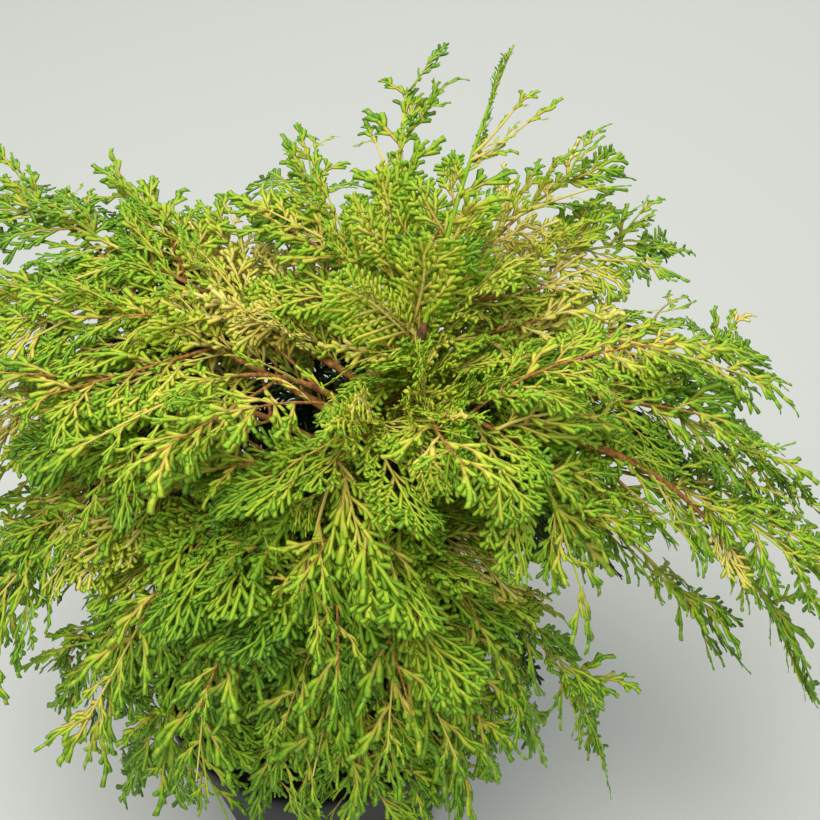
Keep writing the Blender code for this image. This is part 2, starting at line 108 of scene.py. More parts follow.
# %% The boughs' arcs
Bough = namedtuple("Bough", "name azimuth reach foot tip arch turn tint bare spread",
                   defaults=(0.25, 1.0))
BOUGHS = (
    Bough("rear_high", 92, 0.089, 0.302, 0.358, 0.006, 10, "green", 0.25, 0.60),
    Bough("rear_right_high", 54, 0.134, 0.296, 0.308, 0.010, 10, "green", 0.25, 0.70),
    Bough("rear_mid_high", 117, 0.097, 0.294, 0.319, 0.008, 0, "lime", 0.25, 0.95),
    Bough("rear_left_high", 142, 0.152, 0.288, 0.312, -0.004, 0, "green", 0.25, 0.75),
    Bough("left_high", 148, 0.204, 0.281, 0.298, 0.016, 8, "green", 0.25, 0.90),
    Bough("right_high", 42, 0.154, 0.276, 0.274, 0.022, 12, "green", 0.25, 0.85),
    Bough("upper_front", -116, 0.078, 0.275, 0.238, 0.038, 0, "gold", 0.30),
    Bough("upper_left", -168, 0.108, 0.267, 0.266, 0.034, -20, "gold", 0.28),
    Bough("upper_right", -30, 0.084, 0.265, 0.246, 0.040, 0, "gold", 0.30),
    Bough("left_mid_high", 158, 0.206, 0.262, 0.260, 0.038, 6, "lime", 0.25, 1.20),
    Bough("right_upper", 21, 0.179, 0.260, 0.235, 0.036, 12, "green", 0.25, 0.80),
    Bough("left_upper", 169, 0.194, 0.248, 0.212, 0.048, 0, "lime", 0.25, 1.20),
    Bough("front_left", -117, 0.094, 0.253, 0.138, 0.058, 0, "lime", 0.25, 1.10),
    Bough("right_mid", 9, 0.183, 0.246, 0.203, 0.044, 10, "green", 0.25, 0.95),
    Bough("front_right", -64, 0.088, 0.240, 0.147, 0.055, 0, "lime", 0.25, 0.90),
    Bough("left_front", -160, 0.133, 0.236, 0.150, 0.058, 0, "lime", 0.25, 1.10),
    Bough("arm", -2, 0.207, 0.226, 0.175, 0.048, 8, "lime", 0.28, 0.85),
    Bough("left", 178, 0.170, 0.224, 0.166, 0.056, 0, "green", 0.25, 1.15),
    Bough("front", -87, 0.087, 0.220, 0.146, 0.058, 0, "green", 0.25, 1.15),
    Bough("arm_hanging", -6, 0.198, 0.236, 0.124, 0.085, 6, "green", 0.60, 0.45),
    Bough("rear_low_mid", 106, 0.134, 0.212, 0.208, 0.040, 0, "green"),
    Bough("left_front_low", -140, 0.109, 0.211, 0.138, 0.064, 0, "green"),
    Bough("right_front", -35, 0.092, 0.208, 0.150, 0.062, 0, "lime", 0.25, 0.75),
    Bough("rear_low_right", 38, 0.130, 0.204, 0.158, 0.046, 0, "green"),
    Bough("rear_low_left", 148, 0.150, 0.198, 0.154, 0.048, 0, "green"),
    Bough("right_hanging", -4, 0.163, 0.196, 0.148, 0.068, 6, "green", 0.46, 0.55),
    Bough("rear_low", 84, 0.141, 0.190, 0.152, 0.048, 0, "green"),
    Bough("right_low", -27, 0.124, 0.184, 0.147, 0.050, 6, "green", 0.36, 0.55),
    Bough("leader", 63, 0.069, TRUNK_TIP, 0.388, 0.010, 0, "lime", 0.0, 0.36),
)


def arc_point(bough, share):
    """A place on a bough's arc, from the trunk's axis at 0 to the last tip at 1."""
    angle = math.radians(bough.azimuth + bough.turn * (1 - share))
    rise = (bough.tip - bough.foot) * share + 4 * bough.arch * share * (1 - share)
    out = bough.reach * share
    return trunk_point(bough.foot) + Vector((out * math.cos(angle), out * math.sin(angle), rise))


def arc_direction(bough, share):
    """The way that a bough's arc runs at a place on it."""
    return (arc_point(bough, share + 0.01) - arc_point(bough, share - 0.01)).normalized()


def evenly(first, last, count):
    """Count numbers from first to last, in even steps."""
    return [first + (last - first) * i / (count - 1) for i in range(count)]


def arc_length(bough, start, end):
    """The length of a stretch of a bough's arc."""
    places = [arc_point(bough, share) for share in evenly(start, end, 12)]
    return sum((b - a).length for a, b in zip(places, places[1:]))


print(len(BOUGHS), "arcs,", round(sum(arc_length(b, 0, 1) for b in BOUGHS), 2), "m in all")

# %% [markdown]
# ## Colours of the foliage
#
# Young shoots of this plant are cream where they have had no light, gold further out,
# and green at their tips. A row of plain colours from straw through cream and gold to
# deep green covers that, and each spray takes a few neighbours of the row. Plain base
# colours were chosen over a painted pattern because a leaf is only two millimetres
# wide: one leaf shows one colour, and the eye sees the mixture.

# %% Materials for the foliage
def linear(channel):
    """One 8-bit sRGB channel as the linear value that a shader takes."""
    value = channel / 255
    return value / 12.92 if value <= 0.04045 else ((value + 0.055) / 1.055) ** 2.4


def paint(colour):
    """An 8-bit sRGB colour as linear RGBA."""
    return (*(linear(channel) for channel in colour), 1.0)


def plain_material(name, colour, roughness, **settings):
    """A Principled material with one plain base colour."""
    material = bpy.data.materials.new(name)
    material.use_nodes = True
    shader = material.node_tree.nodes["Principled BSDF"]
    shader.inputs["Base Color"].default_value = paint(colour)
    shader.inputs["Roughness"].default_value = roughness
    for label, value in settings.items():
        shader.inputs[label.replace("_", " ")].default_value = value
    material.diffuse_color = paint(colour)
    return material


SHADES = [
    plain_material(name, colour, 0.60, Specular_IOR_Level=0.30)
    for name, colour in (
        ("shoot_straw", (226, 206, 102)),
        ("leaf_cream", (230, 219, 120)),
        ("leaf_gold", (224, 214, 86)),
        ("leaf_yellow_lime", (196, 208, 60)),
        ("leaf_lime", (172, 202, 48)),
        ("leaf_bright_green", (148, 190, 42)),
        ("leaf_green", (124, 172, 38)),
        ("leaf_deep_green", (104, 150, 36)),
        ("leaf_shade_green", (82, 122, 32)),
        # The last green is far darker than any leaf. It is painted shade, and only the sprays deep inside
        # the crown and under the limbs take it.
        ("leaf_inner_green", (36, 56, 19)),
        ("rib_olive", (200, 180, 76)),
    )
]
print(len(SHADES), "shades, from", SHADES[0].name, "to", SHADES[-1].name)

# %% [markdown]
# ## One spray
#
# A spray is a flat fan. A rib runs down its middle, branchlets leave it in turn to the
# left and right, and short blunt leaflets leave each branchlet in the same way. All of
# them are slim strips with a ridge on top, so a strip of a few faces is the only shape
# that is needed. Arrays of corners and faces make a whole fan at once, which is much
# faster than an object for each leaflet. Every corner remembers how far along the fan
# it lies, and every face how much greener it is than the fan's own shade.

# %% A strip with a ridge
class Fan:
    """Corners and faces of a fan as they are added."""

    def __init__(self):
        self.places, self.along, self.faces, self.zones = [], [], [], []


def add_strip(fan, path, widths, ridge, zones, length):
    """A slim three-sided strip along path, with a blunt pointed end."""
    first = len(fan.places)
    for i, place in enumerate(path):
        ahead = path[min(i + 1, len(path) - 1)] - path[max(i - 1, 0)]
        across = UP.cross(ahead).normalized() * widths[i]
        corners = [place + across, place + UP * ridge * widths[i], place - across]
        if i == len(path) - 1:
            corners = [place]
        fan.places += corners
        fan.along += [place.x / length] * len(corners)
    fan.faces.append((first, first + 2, first + 1))
    fan.zones.append(zones[0])
    for i in range(len(path) - 1):
        a = first + 3 * i
        for k in range(3):
            corner, other = a + k, a + (k + 1) % 3
            if i < len(path) - 2:
                fan.faces.append((corner, other, other + 3, corner + 3))
            else:
                fan.faces.append((corner, other, a + 3))
            fan.zones.append(zones[i])


# %% Fans of several sizes
LEAFLET_WIDTH = 0.00100
LEAFLET_STEP = 0.0021
BRANCHLET_STEP = 0.0034
RIB_WIDTH = 0.0007
RIDGE = 0.45
RIB = 20
PALE_RIBS = 2.5


def fan_path(start, angle, length, curl, lift, shares):
    """Places along a shoot that leaves start at an angle and curls forward."""
    places = []
    for share in shares:
        bent = angle * (1 - curl * share)
        along = length * share
        places.append(start + Vector((along * math.cos(bent), along * math.sin(bent),
                                      lift * along * share)))
    return places


def add_branchlet(fan, start, angle, reach, length, rng):
    """One branchlet with its leaflets, greener towards the fan's edge."""
    lift = rng.uniform(-0.30, 0.22)
    shares = (0.0, 0.5, 0.93, 1.0)
    path = fan_path(start, angle, reach, 0.30, lift, shares)
    widths = [RIB_WIDTH, LEAFLET_WIDTH * 0.9, LEAFLET_WIDTH, 0.0]
    outer = start.x > 0.55 * length
    add_strip(fan, path, widths, RIDGE, (outer - 1, outer, 1 + outer), length)
    side = 1 if rng.random() < 0.5 else -1
    at = LEAFLET_STEP * rng.uniform(1.2, 2.2)
    while at < reach - 0.0015:
        share = at / reach
        bent = angle * (1 - 0.30 * share)
        root = fan_path(start, angle, reach, 0.30, lift, (share,))[0]
        size = min(0.0056, 0.5 * (reach - at) + 0.0026) * rng.uniform(0.8, 1.2)
        turn = bent + side * math.radians(rng.uniform(36, 50))
        leaflet = fan_path(root, turn, size, 0.25, rng.uniform(-0.3, 0.3), (0.0, 0.82, 1.0))
        zone = 1 + outer + (share > 0.5)
        add_strip(fan, leaflet, [RIB_WIDTH, LEAFLET_WIDTH, 0.0], RIDGE,
                  (zone, zone), length)
        at += LEAFLET_STEP * rng.uniform(0.85, 1.15)
        side = -side


def fan_mesh(name, length, half_width, opening, bend, seed):
    """A whole fan along +X, its rib bent to one side, its branchlets opening at an angle."""
    rng = random.Random(f"{name} {seed}")
    fan = Fan()

    def rib_at(share):
        return Vector((length * share, bend * length * share * share, 0.0))

    shares = (0.0, 0.2, 0.4, 0.6, 0.8, 0.97, 1.0)
    widths = [RIB_WIDTH * w for w in (1.0, 0.95, 0.9, 1.0, 1.2, 1.3, 0.0)]
    add_strip(fan, [rib_at(share) for share in shares], widths, RIDGE,
              (RIB, RIB, RIB, 0, 1, 2), length)
    count = round(0.9 * length / BRANCHLET_STEP)
    for k in range(count):
        share = 0.07 + 0.88 * k / (count - 1)
        side = 1 if k % 2 else -1
        fullness = math.sin(math.pi * min(1.0, share * 0.93 + 0.05) ** 0.72) ** 0.75
        reach = max(0.0035, half_width * 1.42 * fullness * rng.uniform(0.82, 1.12))
        angle = side * math.radians(opening - 15 * share + rng.uniform(-6, 6))
        angle += 2 * bend * share
        add_branchlet(fan, rib_at(share), angle, reach, length, rng)
    mesh = bpy.data.meshes.new(name)
    mesh.from_pydata(fan.places, [], fan.faces)
    mesh.attributes.new("along", "FLOAT", "POINT").data.foreach_set("value", fan.along)
    mesh.attributes.new("zone", "INT", "FACE").data.foreach_set("value", fan.zones)
    shape = bmesh.new()
    shape.from_mesh(mesh)
    bmesh.ops.recalc_face_normals(shape, faces=shape.faces)
    shape.to_mesh(mesh)
    shape.free()
    mesh.shade_smooth()
    return mesh


FAN_SIZES = (("broad", 0.060, 0.0195, 47), ("middle", 0.046, 0.0150, 45),
             ("slender", 0.056, 0.0095, 36), ("small", 0.031, 0.0105, 44),
             ("twiglet", 0.034, 0.0062, 34), ("sprig", 0.017, 0.0042, 32))
fans = bpy.data.collections.new("fans")
fan_index = {}
for name, length, half_width, opening in FAN_SIZES:
    for turned, bend in enumerate((-0.12, 0.12)):
        for seed in range(2):
            place = len(fans.objects)
            label = f"fan_{place:02d}_{name}"
            shape = fan_mesh(label, length, half_width, opening, bend, seed)
            template = bpy.data.objects.new(label, shape)
            fans.objects.link(template)
            fan_index[name, turned, seed] = (place, length)

# %% [markdown]
# ## Where the sprays grow
#
# Along a bough the sprays leave in turn to the left and right, as they do on the
# solids, only closer together. A few shorter ones stand up from the top of the limb,
# which gives the crown its tousled look. Each spray is one record: its place, how it is
# turned, its length, and its shade. A seeded number source for each bough makes the
# same plant every time. A spray that would reach into the pot or too low is made
# shorter, and is left out if that doesn't help.

# %% Rules for growing
FORK_ANGLE = math.radians(50)
FORK_SWING = 0.22
SPRAY_LENGTH = 0.064
SPRAY_TAPER = 0.62
SPRAY_DROOP = 0.22
ROLL = math.radians(26)
SPRAY_STEP = 0.0105
SHOOT_STEP = 0.024
SHOOT_LENGTH = 0.066
FIRST, LAST = 0.15, 0.95
LOWEST = 0.062
MARGIN = 0.003
POT_TOP, POT_RIM = 0.130, 0.075
Spray = namedtuple("Spray", "place turn length tone kind")
TINTS = {"gold": (2.6, 4.0), "lime": (2.7, 4.6), "green": (3.1, 5.0)}


class Limb:
    """A bough as a line that sprays grow on."""

    def __init__(self, bough):
        self.bough = bough

    def point(self, share):
        return arc_point(self.bough, share)

    def direction(self, share):
        return (self.point(share + 0.01) - self.point(share - 0.01)).normalized()


class Shoot(Limb):
    """A shoot that leaves its limb, bends forward along it, and sags or not."""

    def __init__(self, root, heading, forward, length, sag):
        self.root, self.heading, self.length = root, heading, length
        self.bend = forward * 0.35 - UP * sag

    def point(self, share):
        return self.root + (self.heading + self.bend * share) * self.length * share


def turned_off(forward, angle, rise, roll):
    """A turn whose X leaves a line at an angle, and whose Z is its flat side."""
    across = forward.cross(UP).normalized()
    normal = across.cross(forward)
    heading = Matrix.Rotation(angle, 3, normal) @ forward
    side = normal.cross(heading).normalized()
    heading = Matrix.Rotation(-rise, 3, side) @ heading
    normal = Matrix.Rotation(roll, 3, heading) @ heading.cross(side)
    side = normal.cross(heading).normalized()
    return Matrix((heading, side, heading.cross(side))).transposed()


def in_reach(spot):
    """Whether a place lies within the reach of the solids and clear of the pot."""
    near_pot = spot.z < POT_TOP + 0.005 and spot.xy.length < POT_RIM + 0.004
    inside = all(low - MARGIN < v < high + MARGIN
                 for low, v, high in zip(CAD_BOX[0], spot, CAD_BOX[1]))
    return inside and spot.z > LOWEST and not near_pot


def has_room(place, turn, length):
    """Whether all of a spray lies within reach."""
    for x, y in ((0.5, 0.0), (1.0, 0.0), (0.6, 0.3), (0.6, -0.3)):
        spot = place + turn @ Vector((x * length, y * length, 0.0))
        spot.z -= SPRAY_DROOP * length * x * x
        if not in_reach(spot):
            return False
    return True


def fan_for(length, slim, turned, rng):
    """The number of the fan that suits a length, and the scale that it needs."""
    if length < 0.024:
        name = "sprig"
    elif slim:
        name = "slender" if length > 0.044 else "twiglet"
    else:
        name = "broad" if length > 0.050 else "middle" if length > 0.037 else "small"
    place, natural = fan_index[name, turned, rng.randrange(2)]
    return place, length / natural


def add_spray(sprays, line, share, angles, length, tone, slim, rng):
    """One spray from a place on a line, if it finds room."""
    place = line.point(share)
    turn = turned_off(line.direction(share), *angles)
    if in_hollow(place, turn, length):
        return
    middle = place + turn.col[0] * length * 0.6
    # Sprays whose middle lies low by the dark gap take the darkest greens as painted shade.
    if middle.z < 0.260 and (middle - HOLLOW_PAINTED_SHADE_CENTRE).length < HOLLOW_PAINTED_SHADE_RADIUS:
        tone = rng.uniform(7.6, 9.4)
    for attempt in range(5):
        if has_room(place, turn, length):
            kind = fan_for(length, slim, int(angles[0] < 0), rng)
            sprays.append(Spray(place, turn, length, round(tone), kind))
            return
        length *= 0.88


# Places in the crown where shoots have stayed cream or gold: centre, radius, strength
PALE_PLACES = (
    ((-0.008, 0.052, 0.288), 0.042, 3.2), ((-0.030, 0.070, 0.290), 0.030, 2.4),
    ((0.085, 0.056, 0.286), 0.044, 3.2), ((-0.092, 0.036, 0.262), 0.044, 3.2),
    ((-0.036, 0.018, 0.250), 0.036, 3.4), ((0.067, -0.002, 0.220), 0.032, 3.4),
    ((0.058, 0.074, 0.308), 0.034, 2.8), ((-0.062, 0.012, 0.240), 0.030, 2.4),
    ((0.144, 0.022, 0.212), 0.024, 2.6), ((-0.027, -0.040, 0.172), 0.026, 2.6),
)
HOLLOW = [(Vector(centre), radius) for centre, radius in (
    ((-0.020, 0.034, 0.262), 0.020), ((0.003, 0.030, 0.264), 0.020),
    ((0.030, 0.025, 0.266), 0.018), ((-0.014, 0.010, 0.290), 0.022),
    ((0.005, 0.006, 0.288), 0.021), ((-0.024, 0.054, 0.242), 0.013),
    ((0.026, 0.002, 0.288), 0.013),
)]
# Centre and radius of the ball under the dark gap, where sprays get painted shade.
HOLLOW_PAINTED_SHADE_CENTRE, HOLLOW_PAINTED_SHADE_RADIUS = Vector((-0.004, 0.040, 0.240)), 0.052


def in_hollow(place, turn, length):
    """Whether the outer half of a spray would close the dark gap beside the trunk."""
    return any((place + turn.col[0] * length * part - centre).length < radius
               for part in (0.35, 0.65, 0.95) for centre, radius in HOLLOW)


def shade_at(bough, share, place, rng):
    """The shade of a spray: greener towards the tips, paler in the pale places."""
    first, last = TINTS[bough.tint]
    tone = first + (last - first) * share ** 0.8 + rng.uniform(-0.9, 0.9)
    for centre, radius, strength in PALE_PLACES:
        nearness = 1 - (place - Vector(centre)).length / radius
        if nearness > 0:
            tone -= strength * min(1.0, 1.6 * nearness)
    return 0.0 if rng.random() < 0.015 else min(max(tone, 0.7), 5.4)


# %% Side shoots and upright shoots
SHOOTS = []


def dress_shoot(sprays, bough, shoot, share, step, small, swing, rng):
    """Small sprays along a shoot in turn to its two sides, and one at its tip."""
    while shoot.length > 0.012 and not in_reach(shoot.point(1.0)):
        shoot.length *= 0.9
    SHOOTS.append((shoot, share))
    count = max(3, round(0.85 * shoot.length / step))
    flip = rng.choice((-1, 1))
    for k, part in enumerate(evenly(0.14, 0.92, count)):
        length = small * (1 - 0.45 * part) * rng.uniform(0.8, 1.15)
        angles = (flip * (1 if k % 2 else -1) * rng.uniform(*swing),
                  math.radians(rng.uniform(-8, 18)), rng.uniform(-0.5, 0.5))
        tone = shade_at(bough, min(1.0, share + 0.3 * part), shoot.point(part), rng)
        add_spray(sprays, shoot, part, angles, length, tone, rng.random() < 0.4, rng)
    tone = shade_at(bough, min(1.0, share + 0.35), shoot.point(1.0), rng)
    add_spray(sprays, shoot, 0.90, (0.01, 0.0, rng.uniform(-0.4, 0.4)),
              0.36 * small + 0.010, tone, True, rng)


def side_shoot(sprays, limb, share, side, rng):
    """A shoot from the side of a limb, with small sprays all along it."""
    bough = limb.bough
    length = bough.spread * SHOOT_LENGTH * (1 - 0.75 * share) * rng.uniform(0.7, 1.15)
    forward = limb.direction(share)
    rise = math.radians(rng.uniform(-8, 28))
    heading = turned_off(forward, side * math.radians(rng.uniform(20, 68)), rise, 0.0).col[0]
    shoot = Shoot(limb.point(share), heading, forward, length, 0.26)
    small = bough.spread * 0.033 * (1 - 0.45 * share)
    dress_shoot(sprays, bough, shoot, share, 0.0062, small, (0.6, 0.95), rng)


def upright_shoot(sprays, limb, share, lean, length, rng):
    """A slim shoot that stands up from a limb, with sprigs close to its stem."""
    forward = limb.direction(share)
    across = forward.cross(UP).normalized()
    heading = UP * 0.9 + forward * lean + across * rng.uniform(-0.5, 0.5)
    shoot = Shoot(limb.point(share), heading.normalized(), forward, length, 0.05)
    dress_shoot(sprays, limb.bough, shoot, min(1.0, share + 0.3), 0.0045, 0.020, (0.3, 0.6), rng)


# %% Longer shoots that close the gaps between boughs
Filler = namedtuple("Filler", "bough share side angle rise length")
FILLERS = (
    Filler("front_left", 0.42, -1, 48, 4, 0.066), Filler("front_left", 0.66, -1, 40, 0, 0.044),
    Filler("left_front_low", 0.40, 1, 46, 8, 0.064), Filler("left_front_low", 0.62, 1, 44, 4, 0.050),
    Filler("left_front", 0.50, 1, 44, 6, 0.064), Filler("left_front", 0.72, 1, 36, 0, 0.044),
    Filler("left", 0.58, 1, 44, 0, 0.066), Filler("left", 0.78, 1, 40, -6, 0.056),
    Filler("left", 0.90, 1, 34, -10, 0.044), Filler("front", 0.45, -1, 40, 8, 0.056),
    Filler("front", 0.50, 1, 42, 4, 0.052), Filler("front_right", 0.48, -1, 40, 4, 0.050),
    Filler("front", 0.70, -1, 62, 0, 0.042), Filler("front", 0.74, 1, 62, 0, 0.042),
    Filler("front_left", 0.76, -1, 62, 0, 0.044), Filler("front_left", 0.72, 1, 58, 0, 0.040),
    Filler("front_right", 0.70, -1, 56, 0, 0.040), Filler("left_front_low", 0.76, 1, 60, 0, 0.046),
    Filler("left", 0.66, 1, 62, -4, 0.064), Filler("left_front", 0.60, -1, 48, 0, 0.052),
    Filler("left_front", 0.80, -1, 40, 0, 0.040), Filler("right_front", 0.60, -1, 44, 0, 0.044),
    Filler("front", 0.84, -1, 50, -22, 0.040), Filler("front", 0.84, 1, 50, -22, 0.040),
    Filler("front", 0.93, -1, 34, -34, 0.034), Filler("front", 0.93, 1, 34, -34, 0.034),
    Filler("front_left", 0.88, 1, 40, -26, 0.038), Filler("left_front_low", 0.86, 1, 66, -18, 0.044),
    Filler("left_front_low", 0.92, -1, 40, -30, 0.034), Filler("right_front", 0.82, -1, 70, -16, 0.042),
    Filler("front_right", 0.88, -1, 50, -24, 0.038),
    Filler("rear_low", 0.46, 1, 56, -10, 0.052), Filler("rear_low", 0.46, -1, 56, -10, 0.052),
    Filler("rear_low", 0.74, 1, 48, -20, 0.040), Filler("rear_low_mid", 0.50, 1, 54, -14, 0.050),
    Filler("rear_low_mid", 0.50, -1, 54, -14, 0.050), Filler("rear_low_left", 0.50, 1, 52, -12, 0.052),
    Filler("rear_low_left", 0.66, -1, 52, -16, 0.046), Filler("rear_low_right", 0.50, -1, 52, -12, 0.052),
    Filler("rear_low_right", 0.66, 1, 52, -16, 0.046),
    Filler("rear_low", 0.34, 1, 62, -24, 0.056), Filler("rear_low", 0.34, -1, 62, -24, 0.056),
    Filler("rear_low", 0.60, 1, 40, -30, 0.050), Filler("rear_low", 0.60, -1, 40, -30, 0.050),
    Filler("rear_low_mid", 0.36, 1, 60, -26, 0.056), Filler("rear_low_mid", 0.36, -1, 60, -26, 0.056),
    Filler("rear_low_mid", 0.68, 1, 44, -26, 0.044), Filler("rear_low_left", 0.36, 1, 60, -24, 0.056),
    Filler("rear_low_left", 0.36, -1, 60, -24, 0.056), Filler("rear_low_right", 0.36, 1, 60, -24, 0.056),
    Filler("rear_low_right", 0.36, -1, 60, -24, 0.056), Filler("rear_low_right", 0.74, -1, 44, -22, 0.042),
    Filler("arm", 0.60, 1, 30, 6, 0.062), Filler("arm", 0.74, 1, 26, 2, 0.056),
    Filler("rear_left_high", 0.34, -1, 50, 30, 0.044), Filler("rear_left_high", 0.52, -1, 46, 24, 0.036),
    Filler("rear_mid_high", 0.40, 1, 40, 16, 0.040), Filler("left_high", 0.45, -1, 40, 22, 0.040),
    Filler("right_mid", 0.55, 1, 34, 12, 0.056), Filler("right_upper", 0.50, -1, 34, 6, 0.056),
    Filler("upper_right", 0.40, 1, 56, 26, 0.070), Filler("upper_left", 0.35, 1, 60, 20, 0.060),
)


def filler_shoots(sprays, limb, rng):
    """The longer shoots of one bough."""
    for filler in FILLERS:
        if filler.bough == limb.bough.name:
            forward = limb.direction(filler.share)
            angle = filler.side * math.radians(filler.angle)
            heading = turned_off(forward, angle, math.radians(filler.rise), 0.0).col[0]
            shoot = Shoot(limb.point(filler.share), heading, forward, filler.length, 0.30)
            dress_shoot(sprays, limb.bough, shoot, filler.share, 0.0050, 0.030, (0.6, 0.9), rng)


# %% Grow every bough
def line_heart(sprays, limb, rng):
    """Plumes that stand round the trunk at a bough's foot, cream and gold."""
    for share in evenly(0.03, 0.26, 7):
        angles = (rng.uniform(-1.2, 1.2), rng.uniform(0.1, 0.95), rng.uniform(-0.9, 0.9))
        tone = shade_at(limb.bough, 0.0, limb.point(share), rng) - 0.6
        add_spray(sprays, limb, share, angles, rng.uniform(0.030, 0.054), tone,
                  rng.random() < 0.6, rng)


def line_trunk(rng):
    """Short plumes from the upper trunk itself, most of them on its front."""
    sprays = []
    for k, height in enumerate(evenly(0.240, 0.306, 34)):
        heading = rng.uniform(-2.7, -0.4) if k % 3 else rng.uniform(0.3, 2.8)
        out = Vector((math.cos(heading), math.sin(heading), rng.uniform(0.2, 1.3))).normalized()
        turn = turned_off(out, 0.001, 0.0, rng.uniform(-1.2, 1.2))
        length = rng.uniform(0.030, 0.048)
        kind = fan_for(length, k % 2 == 0, k % 2, rng)
        tone = round(rng.uniform(0.8, 4.0))
        if not in_hollow(trunk_point(height), turn, length):
            sprays.append(Spray(trunk_point(height), turn, length, tone, kind))
    return sprays


def line_underside_painted_shade(sprays, limb, first, rng):
    """Sprays under a limb in the darkest greens: painted shade, where the light hardly reaches."""
    count = round(arc_length(limb.bough, first, 0.62) / 0.014)
    for share in evenly(first, 0.62, max(2, count)):
        angles = (rng.uniform(-1.1, 1.1), rng.uniform(-0.6, -0.2), rng.uniform(-0.6, 0.6))
        length = rng.uniform(0.030, 0.046) * (1 - 0.35 * share)
        add_spray(sprays, limb, share, angles, length, rng.uniform(7.6, 9.4), False, rng)


def grow_leader(limb, rng):
    """The leading shoot: sprays low down, then slim, with a fork to one side."""
    sprays = []
    for k, share in enumerate(evenly(0.03, 0.46, 11)):
        angles = ((1 if k % 2 else -1) * rng.uniform(0.45, 0.8), rng.uniform(-0.2, 0.3),
                  rng.uniform(-0.8, 0.8))
        add_spray(sprays, limb, share, angles, rng.uniform(0.024, 0.036) * (1.1 - share),
                  rng.uniform(2.5, 5.5), k % 3 == 0, rng)
    for k, share in enumerate(evenly(0.44, 0.92, 26)):
        angles = ((1 if k % 2 else -1) * rng.uniform(0.08, 0.20), rng.uniform(-0.1, 0.1),
                  rng.uniform(-1.5, 1.5))
        add_spray(sprays, limb, share, angles, 0.010 - 0.004 * share, rng.uniform(4.0, 6.4),
                  True, rng)
    for share, heading, length in ((0.52, (0.66, 0.42, 0.32), 0.021),
                                   (0.50, (0.90, 0.26, 0.24), 0.022)):
        fork = Shoot(limb.point(share), Vector(heading), limb.direction(share), length, 0.0)
        dress_shoot(sprays, limb.bough, fork, 0.5, 0.010, 0.012, (0.3, 0.6), rng)
    return sprays


def grow(bough):
    """All the sprays of one bough."""
    rng = random.Random("sprays " + bough.name)
    limb = Limb(bough)
    if not bough.bare:
        return grow_leader(limb, rng)
    first = max(FIRST, bough.bare - 0.10)
    sprays = []
    if bough.bare < 0.4:
        line_heart(sprays, limb, rng)
    # Most boughs get dark sprays beneath them as painted shade.
    if not bough.name.startswith(("arm", "rear_high", "rear_right_high", "right_high")):
        line_underside_painted_shade(sprays, limb, first, rng)
    count = round(arc_length(bough, first, LAST) / SPRAY_STEP)
    for k, share in enumerate(evenly(first, LAST, count)):
        side = 1 if k % 2 else -1
        length = bough.spread * SPRAY_LENGTH * (1 - SPRAY_TAPER * share)
        angles = (side * (FORK_ANGLE + rng.uniform(-FORK_SWING, FORK_SWING)), 0.0,
                  rng.uniform(-ROLL, ROLL))
        add_spray(sprays, limb, share, angles, length * rng.uniform(0.84, 1.08),
                  shade_at(bough, share, limb.point(share), rng), False, rng)
        if rng.random() < 0.85:
            angles = (rng.uniform(-0.75, 0.75), rng.uniform(0.08, 0.75), rng.uniform(-0.9, 0.9))
            short = rng.uniform(0.026, 0.044) * (1 - 0.35 * share)
            tone = shade_at(bough, share, limb.point(share), rng) - 0.3
            add_spray(sprays, limb, share, angles, short, tone, rng.random() < 0.5, rng)
    count = round(arc_length(bough, first, 0.82) / SHOOT_STEP)
    for k, share in enumerate(evenly(first + 0.05, 0.82, max(2, count))):
        side_shoot(sprays, limb, share, 1 if k % 2 else -1, rng)
    if bough.name != "rear_high":
        for share in evenly(0.3, 0.85, 4 if bough.name.endswith("high") else 2):
            upright_shoot(sprays, limb, share, rng.uniform(0.4, 1.0),
                          rng.uniform(0.014, 0.026) * (1.1 - 0.4 * share), rng)
    filler_shoots(sprays, limb, rng)
    for share in (0.80, 0.90):
        add_spray(sprays, limb, share, (0.001, 0.1, rng.uniform(-0.4, 0.4)),
                  arc_length(bough, share, 1.0) * 1.02,
                  shade_at(bough, 1.0, limb.point(1.0), rng), True, rng)
    return sprays


GROWN = {bough.name: grow(bough) for bough in BOUGHS}
GROWN["upper_front"] += line_trunk(random.Random("trunk"))
print(sum(len(s) for s in GROWN.values()), "sprays on", len(GROWN), "limbs and",
      len(SHOOTS), "side shoots")

# %% [markdown]
# ## Setting out the sprays with Geometry Nodes
#
# Nearly a thousand sprays repeat a handful of fans, which is what instancing is for.
# Each spray becomes one point that carries its turn, size, fan and shade. The node tree
# sets a fan on every point, makes the copies real, lets them droop under their own
# weight, gives them a slight ripple so that no two lie quite flat, and then deals out
# the shades. The tree must end in real geometry, because instances aren't exported.

# %% Helpers for node trees
def put(tree, kind, sockets=None, **settings):
    """Adds a node, with its settings and with values or links for its sockets."""
    made = tree.nodes.new(kind)
    for label, value in settings.items():
        setattr(made, label, value)
    for label, value in (sockets or {}).items():
        if isinstance(value, bpy.types.NodeSocket):
            tree.links.new(value, made.inputs[label])
        else:
            made.inputs[label].default_value = value
    return made


def new_tree(name, inputs):
    """A Geometry Nodes tree with named inputs, and its first and last node."""
    tree = bpy.data.node_groups.new(name, "GeometryNodeTree")
    face = tree.interface
    face.new_socket("Geometry", in_out="INPUT", socket_type="NodeSocketGeometry")
    for label, kind in inputs:
        face.new_socket(label, in_out="INPUT", socket_type="NodeSocket" + kind)
    face.new_socket("Geometry", in_out="OUTPUT", socket_type="NodeSocketGeometry")
    return tree, tree.nodes.new("NodeGroupInput"), tree.nodes.new("NodeGroupOutput")


